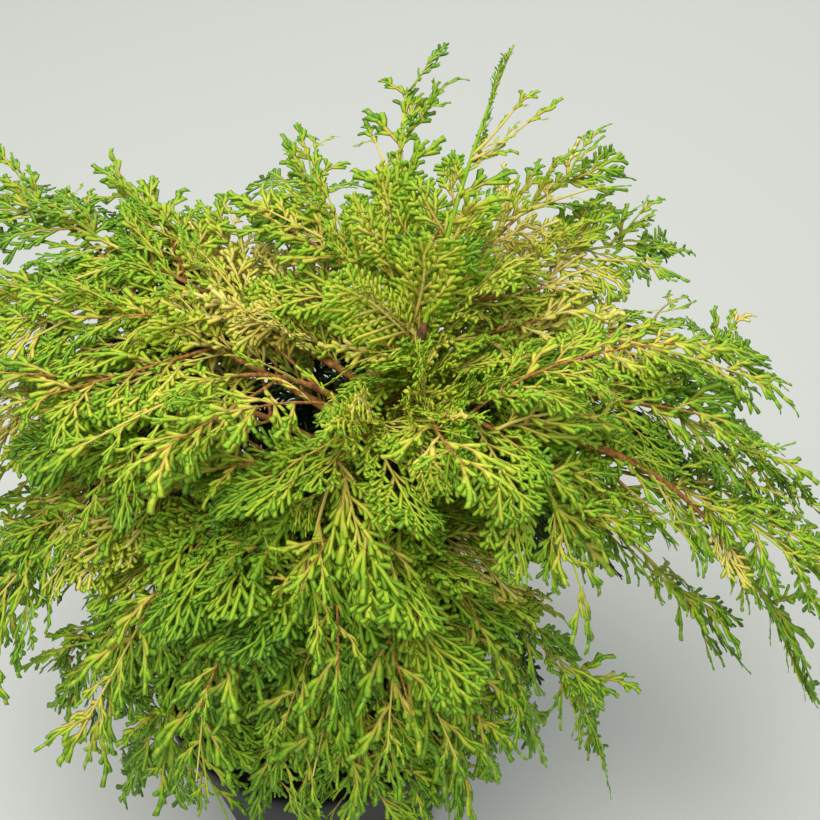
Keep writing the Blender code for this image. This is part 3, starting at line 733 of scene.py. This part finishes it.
def attribute(tree, name, kind="FLOAT"):
    """The value of a named attribute."""
    return put(tree, "GeometryNodeInputNamedAttribute", {"Name": name},
               data_type=kind).outputs["Attribute"]


def maths(tree, operation, first, second=0.0):
    """The result of a sum on numbers."""
    return put(tree, "ShaderNodeMath", {0: first, 1: second}, operation=operation).outputs[0]


def deal_materials(tree, geometry, index, materials):
    """Gives each face the material whose place in the row its index names."""
    for number, material in enumerate(materials):
        chosen = put(tree, "FunctionNodeCompare", {2: index, 3: number},
                     data_type="INT", operation="EQUAL")
        given = put(tree, "GeometryNodeSetMaterial",
                    {"Geometry": geometry, "Selection": chosen.outputs[0]})
        given.inputs["Material"].default_value = material
        geometry = given.outputs[0]
    return geometry


def grown_with(name, data, tree, values):
    """A plain mesh object that a tree makes from a mesh or curve, at the origin."""
    made = bpy.data.objects.new(name, data)
    bpy.context.scene.collection.objects.link(made)
    modifier = made.modifiers.new("grow", "NODES")
    modifier.node_group = tree
    for socket in tree.interface.items_tree:
        if socket.name in values:
            modifier[socket.identifier] = values[socket.name]
    made.update_tag()
    bpy.context.view_layer.update()
    graph = bpy.context.evaluated_depsgraph_get()
    mesh = bpy.data.meshes.new_from_object(made.evaluated_get(graph))
    bpy.data.objects.remove(made)
    for layer in [a.name for a in mesh.attributes if not a.is_required and not a.is_internal
                  and a.name not in ("material_index", "sharp_face", "sharp_edge")]:
        mesh.attributes.remove(mesh.attributes[layer])
    mesh.name = name
    plain = bpy.data.objects.new(name, mesh)
    bpy.context.scene.collection.objects.link(plain)
    return plain


def triangles(made):
    """How many triangles an object has."""
    return sum(len(face.vertices) - 2 for face in made.data.polygons)


# %% The tree that sets out the sprays
spray_tree, start, end = new_tree("set_out_sprays", (
    ("Fans", "Collection"), ("Droop", "Float"), ("Ripple", "Float"), ("Seed", "Float")))
source = put(spray_tree, "GeometryNodeCollectionInfo",
             {"Collection": start.outputs["Fans"], "Separate Children": True,
              "Reset Children": True})
euler = put(spray_tree, "FunctionNodeEulerToRotation",
            {0: attribute(spray_tree, "turn", "FLOAT_VECTOR")})
spread_out = put(spray_tree, "GeometryNodeInstanceOnPoints",
                 {"Points": start.outputs["Geometry"], "Instance": source.outputs[0],
                  "Pick Instance": True, "Instance Index": attribute(spray_tree, "fan", "INT"),
                  "Rotation": euler.outputs[0], "Scale": attribute(spray_tree, "size")})
real = put(spray_tree, "GeometryNodeRealizeInstances", {"Geometry": spread_out.outputs[0]})
along = attribute(spray_tree, "along")
sag = maths(spray_tree, "MULTIPLY", maths(spray_tree, "MULTIPLY", along, along),
            maths(spray_tree, "MULTIPLY", attribute(spray_tree, "length"),
                  start.outputs["Droop"]))
ripple = put(spray_tree, "ShaderNodeTexNoise",
             {"Vector": put(spray_tree, "GeometryNodeInputPosition").outputs[0],
              "W": start.outputs["Seed"], "Scale": 34.0, "Detail": 1.0},
             noise_dimensions="4D")
centred = put(spray_tree, "ShaderNodeVectorMath",
              {0: ripple.outputs["Color"], 1: (0.5, 0.5, 0.5)}, operation="SUBTRACT")
strength = maths(spray_tree, "MULTIPLY", along, start.outputs["Ripple"])
wave = put(spray_tree, "ShaderNodeVectorMath",
           {0: centred.outputs[0], "Scale": strength}, operation="SCALE")
drop = put(spray_tree, "ShaderNodeCombineXYZ", {"Z": maths(spray_tree, "MULTIPLY", sag, -1.0)})
shift = put(spray_tree, "ShaderNodeVectorMath",
            {0: wave.outputs[0], 1: drop.outputs[0]}, operation="ADD")
moved = put(spray_tree, "GeometryNodeSetPosition",
            {"Geometry": real.outputs[0], "Offset": shift.outputs[0]})
zone = attribute(spray_tree, "zone", "INT")
shade = maths(spray_tree, "ADD", attribute(spray_tree, "tone", "INT"), zone)
shade = maths(spray_tree, "MINIMUM", maths(spray_tree, "MAXIMUM", shade, 0.0),
              len(SHADES) - 2)
rib = maths(spray_tree, "GREATER_THAN", zone, RIB / 2)
pale = maths(spray_tree, "LESS_THAN", attribute(spray_tree, "tone", "INT"), PALE_RIBS)
shade = maths(spray_tree, "MULTIPLY", maths(spray_tree, "ADD", shade, rib),
              maths(spray_tree, "SUBTRACT", 1.0, maths(spray_tree, "MULTIPLY", rib, pale)))
dealt = deal_materials(spray_tree, moved.outputs[0], shade, SHADES)
spray_tree.links.new(dealt, end.inputs[0])
print("tree", spray_tree.name, "has", len(spray_tree.nodes), "nodes")

# %% Grow the foliage, a few boughs to a piece
GROUPS = {
    "crown": ("leader", "rear_high", "rear_right_high", "rear_mid_high", "rear_left_high",
              "left_high", "right_high"),
    "heart": ("upper_front", "upper_left", "upper_right", "left_mid_high", "right_upper"),
    "left": ("left_upper", "left_front", "left", "left_front_low"),
    "front": ("front_left", "front_right", "front", "right_front"),
    "right": ("right_mid", "arm", "arm_hanging", "right_hanging", "right_low"),
    "rear": ("rear_low_mid", "rear_low_right", "rear_low_left", "rear_low"),
}


def spray_points(sprays):
    """A mesh of bare points that carry each spray's turn, size, fan and shade."""
    mesh = bpy.data.meshes.new("spray_points")
    mesh.from_pydata([spray.place for spray in sprays], [], [])
    rows = {
        ("turn", "FLOAT_VECTOR", "vector"): [v for s in sprays for v in s.turn.to_euler()],
        ("size", "FLOAT", "value"): [s.kind[1] for s in sprays],
        ("length", "FLOAT", "value"): [s.length for s in sprays],
        ("fan", "INT", "value"): [s.kind[0] for s in sprays],
        ("tone", "INT", "value"): [s.tone for s in sprays],
    }
    for (label, kind, field), values in rows.items():
        mesh.attributes.new(label, kind, "POINT").data.foreach_set(field, values)
    return mesh


total = 0
for group, names in GROUPS.items():
    sprays = [spray for name in names for spray in GROWN[name]]
    piece = grown_with("sprays_" + group, spray_points(sprays), spray_tree,
                       {"Fans": fans, "Droop": SPRAY_DROOP, "Ripple": 0.016,
                        "Seed": float(len(group))})
    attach(piece, "root")
    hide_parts(*("foliage_" + name for name in names))
    total += triangles(piece)
    print(piece.name, len(sprays), "sprays", triangles(piece), "triangles")
print("foliage", total, "triangles")

# %% [markdown]
# ## Twigs and bark
#
# A limb follows its arc, so Geometry Nodes sweep a ring along a curve that has its own
# radius at every point. A little noise pushes the skin in and out, which is the relief
# of the bark. The inner limbs are orange brown, and the young stems between the sprays
# change to green within a few centimetres, so those get plain colours in steps.

# %% Bark that is made by nodes
def bark_material(name, dark, middle, light, grain):
    """Flaking bark: flakes drawn out along Z, darker in its cracks."""
    material = plain_material(name, middle, 0.85)
    tree = material.node_tree
    shader = tree.nodes["Principled BSDF"]
    where = put(tree, "ShaderNodeTexCoord").outputs["Object"]
    mapped = put(tree, "ShaderNodeMapping", {"Vector": where, "Scale": (1.0, 1.0, 0.28)})
    flakes = put(tree, "ShaderNodeTexNoise", {"Vector": mapped.outputs[0], "Scale": grain,
                                              "Detail": 5.0, "Roughness": 0.62})
    ramp = put(tree, "ShaderNodeValToRGB", {"Fac": flakes.outputs["Fac"]})
    ramp.color_ramp.elements[0].position = 0.34
    ramp.color_ramp.elements[0].color = paint(dark)
    ramp.color_ramp.elements[1].position = 0.66
    ramp.color_ramp.elements[1].color = paint(light)
    ramp.color_ramp.elements.new(0.5).color = paint(middle)
    bump = put(tree, "ShaderNodeBump", {"Height": flakes.outputs["Fac"], "Strength": 0.6,
                                        "Distance": 0.0006})
    tree.links.new(ramp.outputs[0], shader.inputs["Base Color"])
    tree.links.new(bump.outputs[0], shader.inputs["Normal"])
    return material


old_bark = bark_material("bark_trunk", (64, 40, 26), (120, 78, 46), (164, 118, 80), 420.0)
young_bark = bark_material("bark_young", (120, 70, 34), (174, 114, 52), (204, 152, 84), 520.0)

# %% The tree that sweeps a limb along its line
limb_tree, start, end = new_tree("sweep_limbs", (
    ("Sides", "Int"), ("Relief", "Float"), ("Grain", "Float"), ("Seed", "Float"),
    ("Skin", "Material")))
ring = put(limb_tree, "GeometryNodeCurvePrimitiveCircle",
           {"Resolution": start.outputs["Sides"], "Radius": 1.0})
swept = put(limb_tree, "GeometryNodeCurveToMesh",
            {"Curve": start.outputs["Geometry"], "Profile Curve": ring.outputs[0],
             "Fill Caps": True})
if "Scale" in swept.inputs:
    limb_tree.links.new(put(limb_tree, "GeometryNodeInputRadius").outputs[0],
                        swept.inputs["Scale"])
where = put(limb_tree, "ShaderNodeVectorMath",
            {0: put(limb_tree, "GeometryNodeInputPosition").outputs[0],
             1: (1.0, 1.0, 0.35)}, operation="MULTIPLY")
flakes = put(limb_tree, "ShaderNodeTexNoise",
             {"Vector": where.outputs[0], "W": start.outputs["Seed"],
              "Scale": start.outputs["Grain"], "Detail": 3.0}, noise_dimensions="4D")
depth = maths(limb_tree, "MULTIPLY",
              maths(limb_tree, "SUBTRACT", flakes.outputs[0], 0.5), start.outputs["Relief"])
push = put(limb_tree, "ShaderNodeVectorMath",
           {0: put(limb_tree, "GeometryNodeInputNormal").outputs[0], "Scale": depth},
           operation="SCALE")
rough = put(limb_tree, "GeometryNodeSetPosition",
            {"Geometry": swept.outputs[0], "Offset": push.outputs[0]})
real = put(limb_tree, "GeometryNodeRealizeInstances", {"Geometry": rough.outputs[0]})
skinned = put(limb_tree, "GeometryNodeSetMaterial",
              {"Geometry": real.outputs[0], "Material": start.outputs["Skin"]})
limb_tree.links.new(skinned.outputs[0], end.inputs[0])
print("tree", limb_tree.name, "has", len(limb_tree.nodes), "nodes")


# %% Sweep the trunk and the boughs
def line_curve(name, lines):
    """A curve with one spline for each line of (place, radius)."""
    curve = bpy.data.curves.new(name, "CURVE")
    curve.dimensions = "3D"
    for line in lines:
        spline = curve.splines.new("POLY")
        spline.points.add(len(line) - 1)
        for knot, (place, radius) in zip(spline.points, line):
            knot.co = (*place, 1.0)
            knot.radius = radius
    return curve


def smooth_closed(piece):
    """Shades a swept piece smooth and turns its faces outwards."""
    shape = bmesh.new()
    shape.from_mesh(piece.data)
    bmesh.ops.recalc_face_normals(shape, faces=shape.faces)
    shape.to_mesh(piece.data)
    shape.free()
    piece.data.shade_smooth()
    piece.data.set_sharp_from_angle(angle=math.radians(60))


heights = [TRUNK_FOOT + (TRUNK_TIP - TRUNK_FOOT) * (i / 60) ** 1.25 for i in range(61)]
trunk_line = [(trunk_point(height), trunk_radius(height)) for height in heights]
trunk = grown_with("trunk_bark", line_curve("trunk_line", [trunk_line]), limb_tree,
                   {"Sides": 28, "Relief": 0.0016, "Grain": 330.0, "Seed": 1.0,
                    "Skin": old_bark})
smooth_closed(trunk)
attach(trunk, "root")
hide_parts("trunk")

bough_lines = []
for bough in BOUGHS[:-1]:
    foot = min(0.0021, 0.75 * trunk_radius(bough.foot))
    line = []
    for share in evenly(0.0, bough.bare + 0.02, 22):
        grown = share / bough.bare
        line.append((arc_point(bough, share), foot + (0.0011 - foot) * grown))
    bough_lines.append(line)
limbs = grown_with("bough_bark", line_curve("bough_lines", bough_lines), limb_tree,
                   {"Sides": 10, "Relief": 0.0006, "Grain": 480.0, "Seed": 2.0,
                    "Skin": young_bark})
smooth_closed(limbs)
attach(limbs, "root")
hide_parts(*("bough_" + bough.name for bough in BOUGHS[:-1]))
print("trunk", triangles(trunk), "boughs", triangles(limbs))

# %% Stems between the sprays, in steps from brown to green
STEM_STEPS = (("brown", 0.0, 0.45, 0), ("straw", 0.44, 0.66, 0), ("gold", 0.65, 0.83, 3),
              ("green", 0.82, 1.0, 5))
for step, first, last, number in STEM_STEPS:
    stem_lines = []
    for bough in BOUGHS:
        if not bough.bare and step != "green":
            continue
        line = []
        start_part = first if bough.bare else 0.0
        for part in evenly(start_part, last, 10):
            share = bough.bare + (1 - bough.bare) * part
            line.append((arc_point(bough, min(share, 0.985)), 0.0010 - 0.0006 * part))
        stem_lines.append(line)
    for shoot, share in SHOOTS:
        if first <= share * 0.98 < last:
            stem_lines.append([(shoot.point(part), 0.0007 - 0.0004 * part)
                               for part in evenly(0.0, 1.0, 7)])
    stems = grown_with("stems_" + step, line_curve("stem_lines", stem_lines), limb_tree,
                       {"Sides": 7, "Relief": 0.0002, "Grain": 500.0, "Seed": 3.0,
                        "Skin": young_bark if step == "brown" else SHADES[number]})
    smooth_closed(stems)
    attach(stems, "root")
    print(stems.name, triangles(stems), "triangles")

# %% [markdown]
# ## The pot
#
# A thin black plastic pot, moulded in one piece: tapered wall, stepped collar with a
# soft rim, and drain holes in the floor. It is turned from a profile, with far more
# steps than its solid has, so the rim shows no corners.

# %% Turn the pot
def plastic_material():
    """Matt black plastic with a faint cloudy bloom and fine moulding grain."""
    material = plain_material("pot_black_plastic", (30, 31, 33), 0.55, Specular_IOR_Level=0.3)
    tree = material.node_tree
    shader = tree.nodes["Principled BSDF"]
    where = put(tree, "ShaderNodeTexCoord").outputs["Object"]
    bloom = put(tree, "ShaderNodeTexNoise", {"Vector": where, "Scale": 42.0, "Detail": 6.0,
                                             "Roughness": 0.65})
    ramp = put(tree, "ShaderNodeValToRGB", {"Fac": bloom.outputs["Fac"]})
    ramp.color_ramp.elements[0].position = 0.40
    ramp.color_ramp.elements[0].color = paint((26, 27, 29))
    ramp.color_ramp.elements[1].position = 0.72
    ramp.color_ramp.elements[1].color = paint((42, 43, 45))
    rough = put(tree, "ShaderNodeMapRange", {"Value": bloom.outputs["Fac"], "To Min": 0.48,
                                             "To Max": 0.66})
    grain = put(tree, "ShaderNodeTexNoise", {"Vector": where, "Scale": 900.0, "Detail": 2.0})
    bump = put(tree, "ShaderNodeBump", {"Height": grain.outputs["Fac"], "Strength": 0.25,
                                        "Distance": 0.0002})
    tree.links.new(ramp.outputs[0], shader.inputs["Base Color"])
    tree.links.new(rough.outputs[0], shader.inputs["Roughness"])
    tree.links.new(bump.outputs[0], shader.inputs["Normal"])
    return material


def turned(name, profile, steps):
    """A closed mesh turned about Z from (radius, height) points, down its outer side."""
    mesh = bpy.data.meshes.new(name)
    places = [(radius, 0.0, height) for radius, height in profile]
    mesh.from_pydata(places, [(i, i + 1) for i in range(len(places) - 1)], [])
    made = bpy.data.objects.new(name, mesh)
    bpy.context.scene.collection.objects.link(made)
    screw = made.modifiers.new("turn", "SCREW")
    screw.steps = screw.render_steps = steps
    screw.use_merge_vertices = True
    screw.merge_threshold = 1e-6
    return made


def applied(made):
    """Swaps an object's mesh for the one that its modifiers make."""
    bpy.context.view_layer.update()
    graph = bpy.context.evaluated_depsgraph_get()
    mesh = bpy.data.meshes.new_from_object(made.evaluated_get(graph))
    made.modifiers.clear()
    made.data = mesh
    return made


def wall(height, inset=0.0):
    """The pot's radius at a height under its collar."""
    return 0.055 + 0.0155 * height / 0.117 - inset


pot_profile = (
    (0.0, 0.0020), (0.020, 0.0020), (wall(0.002, 0.0030), 0.0020), (wall(0.003, 0.0018), 0.0030),
    (wall(0.060, 0.0015), 0.060), (wall(0.1155, 0.0015), 0.1155), (0.0705, 0.1185),
    (0.0722, 0.1210), (0.0727, 0.1285), (0.0731, 0.1296), (0.0738, 0.1300), (0.0745, 0.1297),
    (0.0750, 0.1288), (0.0748, 0.1240), (0.0746, 0.1180), (0.0741, 0.1172), (0.0712, 0.1168),
    (wall(0.115), 0.1150), (wall(0.060), 0.060), (wall(0.0100), 0.0100),
    (wall(0.0085, 0.0004), 0.0085), (wall(0.0040, 0.0004), 0.0040), (wall(0.001, 0.0006), 0.0010),
    (0.0536, 0.0002), (0.0527, 0.0), (0.020, 0.0), (0.0, 0.0),
)
pot = turned("pot_moulded", pot_profile, 128)
drains = bpy.data.collections.new("drains")
for i in range(6):
    angle = math.tau * (i + 0.5) / 6
    bpy.ops.mesh.primitive_cylinder_add(
        vertices=32, radius=0.005, depth=0.008,
        location=(0.038 * math.cos(angle), 0.038 * math.sin(angle), 0.0))
    drain = bpy.context.object
    for home in tuple(drain.users_collection):
        home.objects.unlink(drain)
    drains.objects.link(drain)
bpy.context.scene.collection.children.link(drains)
cut = pot.modifiers.new("drains", "BOOLEAN")
cut.operand_type = "COLLECTION"
cut.collection = drains
cut.solver = "MANIFOLD"
applied(pot)
for drain in tuple(drains.objects):
    bpy.data.objects.remove(drain)
bpy.data.collections.remove(drains)
pot.data.materials.clear()
pot.data.materials.append(plastic_material())
pot.data.polygons.foreach_set("material_index", [0] * len(pot.data.polygons))
pot.data.shade_smooth()
pot.data.set_sharp_from_angle(angle=math.radians(32))
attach(pot, "root")
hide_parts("pot")
print("pot", triangles(pot), "triangles")

# %% [markdown]
# ## The potting peat
#
# Peat is a dark, crumbly fill. A turned disc with a little noise makes its body, and
# Geometry Nodes scatter lumps over the top. Each lump is a ball of twenty faces,
# squashed and turned at random, which is enough at this size.

# %% Peat and its lumps
def peat_material():
    """Dark brown peat, darker where its bump sinks."""
    material = plain_material("peat_crumb", (52, 38, 27), 0.95)
    tree = material.node_tree
    shader = tree.nodes["Principled BSDF"]
    where = put(tree, "ShaderNodeTexCoord").outputs["Object"]
    crumbs = put(tree, "ShaderNodeTexNoise", {"Vector": where, "Scale": 320.0, "Detail": 6.0,
                                              "Roughness": 0.7})
    ramp = put(tree, "ShaderNodeValToRGB", {"Fac": crumbs.outputs["Fac"]})
    ramp.color_ramp.elements[0].position = 0.36
    ramp.color_ramp.elements[0].color = paint((30, 21, 15))
    ramp.color_ramp.elements[1].position = 0.68
    ramp.color_ramp.elements[1].color = paint((86, 64, 46))
    bump = put(tree, "ShaderNodeBump", {"Height": crumbs.outputs["Fac"], "Strength": 0.8,
                                        "Distance": 0.0012})
    tree.links.new(ramp.outputs[0], shader.inputs["Base Color"])
    tree.links.new(bump.outputs[0], shader.inputs["Normal"])
    return material


peat_skin = peat_material()
edge = wall(0.1145, 0.0021)
peat_profile = [(0.0, 0.1180)]
peat_profile += [(edge * i / 22, 0.1180 - 0.003 * (i / 22) ** 2) for i in range(1, 23)]
peat_profile += [(wall(0.0024, 0.0045), 0.0024), (0.0, 0.0024)]
body = turned("peat_body", peat_profile, 96)
applied(body)
peat_mesh = body.data
bpy.data.objects.remove(body)
bpy.ops.mesh.primitive_ico_sphere_add(subdivisions=1, radius=1.0)
lump = bpy.context.object
lump.name = "lump"
for home in tuple(lump.users_collection):
    home.objects.unlink(lump)
lumps_home = bpy.data.collections.new("lumps")
lumps_home.objects.link(lump)

peat_tree, start, end = new_tree("scatter_peat", (
    ("Lump", "Collection"), ("Density", "Float"), ("Size", "Float"), ("Relief", "Float"),
    ("Seed", "Int"), ("Skin", "Material")))
noise = put(peat_tree, "ShaderNodeTexNoise",
            {"Vector": put(peat_tree, "GeometryNodeInputPosition").outputs[0], "Scale": 170.0,
             "Detail": 3.0})
place = put(peat_tree, "GeometryNodeInputPosition")
height = put(peat_tree, "ShaderNodeSeparateXYZ", {0: place.outputs[0]}).outputs[2]
on_top = put(peat_tree, "FunctionNodeCompare", {0: height, 1: 0.112},
             data_type="FLOAT", operation="GREATER_THAN").outputs[0]
heave = maths(peat_tree, "MULTIPLY", maths(peat_tree, "SUBTRACT", noise.outputs[0], 0.5),
              start.outputs["Relief"])
lift = put(peat_tree, "ShaderNodeCombineXYZ", {"Z": heave})
heaved = put(peat_tree, "GeometryNodeSetPosition",
             {"Geometry": start.outputs["Geometry"], "Selection": on_top,
              "Offset": lift.outputs[0]})
spots = put(peat_tree, "GeometryNodeDistributePointsOnFaces",
            {"Mesh": heaved.outputs[0], "Selection": on_top,
             "Density": start.outputs["Density"], "Seed": start.outputs["Seed"]})
turn = put(peat_tree, "FunctionNodeRandomValue",
           {0: (0.0, 0.0, 0.0), 1: (6.28, 6.28, 6.28), "Seed": start.outputs["Seed"]},
           data_type="FLOAT_VECTOR")
swell = put(peat_tree, "FunctionNodeRandomValue",
            {0: (0.5, 0.4, 0.25), 1: (1.6, 1.2, 0.8), "Seed": start.outputs["Seed"]},
            data_type="FLOAT_VECTOR")
scaled = put(peat_tree, "ShaderNodeVectorMath",
             {0: swell.outputs[0], "Scale": start.outputs["Size"]}, operation="SCALE")
lump_info = put(peat_tree, "GeometryNodeCollectionInfo",
                {"Collection": start.outputs["Lump"], "Separate Children": True,
                 "Reset Children": True})
lumps = put(peat_tree, "GeometryNodeInstanceOnPoints",
            {"Points": spots.outputs[0], "Instance": lump_info.outputs[0],
             "Rotation": turn.outputs[0], "Scale": scaled.outputs[0]})
both = put(peat_tree, "GeometryNodeJoinGeometry")
peat_tree.links.new(heaved.outputs[0], both.inputs[0])
peat_tree.links.new(lumps.outputs[0], both.inputs[0])
real = put(peat_tree, "GeometryNodeRealizeInstances", {"Geometry": both.outputs[0]})
skinned = put(peat_tree, "GeometryNodeSetMaterial",
              {"Geometry": real.outputs[0], "Material": start.outputs["Skin"]})
peat_tree.links.new(skinned.outputs[0], end.inputs[0])
peat = grown_with("peat_fill", peat_mesh, peat_tree,
                  {"Lump": lumps_home, "Density": 80000.0, "Size": 0.0013,
                   "Relief": 0.0024, "Seed": 4, "Skin": peat_skin})
peat.data.shade_smooth()
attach(peat, "root")
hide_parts("potting_peat")
bpy.data.objects.remove(lump)
for template in tuple(fans.objects):
    bpy.data.objects.remove(template)
print("peat", triangles(peat), "triangles")

# %% [markdown]
# ## Floor, light and camera
#
# A pale plain floor and large soft lights show the foliage as an overcast window would.
# One large light hangs over the plant and a little in front of it, and the pale
# surroundings fill the shadows. The camera is at the front, looking down at 46 degrees
# through a 50 mm lens.

# %% The floor
floor_mesh = bpy.data.meshes.new("floor")
floor_mesh.from_pydata([(-40, -40, -0.0003), (40, -40, -0.0003), (40, 40, -0.0003),
                        (-40, 40, -0.0003)], [], [(0, 1, 2, 3)])
floor = bpy.data.objects.new("floor", floor_mesh)
bpy.context.scene.collection.objects.link(floor)
floor_mesh.materials.append(plain_material("floor_pale", (204, 207, 201), 0.8))


# %% Light
def area_light(name, place, target, size, energy, colour=(1.0, 1.0, 1.0)):
    """A square area light at place that faces target."""
    data = bpy.data.lights.new(name, "AREA")
    data.shape = "SQUARE"
    data.size = size
    data.energy = energy
    data.color = colour
    lamp = bpy.data.objects.new(name, data)
    lamp.location = place
    lamp.rotation_euler = (Vector(target) - Vector(place)).to_track_quat("-Z", "Y").to_euler()
    bpy.context.scene.collection.objects.link(lamp)
    return lamp


area_light("light_over", (-0.25, -0.25, 1.9), (0.0, 0.0, 0.2), 1.6, 32.5, (1.0, 0.985, 0.95))
area_light("light_rear", (0.6, 1.6, 1.5), (0.0, 0.0, 0.2), 1.2, 10.0)
world = bpy.data.worlds.new("pale_room")
world.use_nodes = True
world.node_tree.nodes["Background"].inputs["Color"].default_value = (0.95, 0.98, 1.0, 1.0)
world.node_tree.nodes["Background"].inputs["Strength"].default_value = 0.42
bpy.context.scene.world = world
bpy.context.scene.view_settings.view_transform = "Standard"

# %% Camera
camera_data = bpy.data.cameras.new("camera")
camera_data.lens = 50.0
camera_data.sensor_width = 36.0
camera = bpy.data.objects.new("camera", camera_data)
camera.location = (0.0406, -0.2856, 0.585)
camera.rotation_euler = (math.radians(90 - 46), 0.0, 0.0)
bpy.context.scene.collection.objects.link(camera)
bpy.context.scene.camera = camera
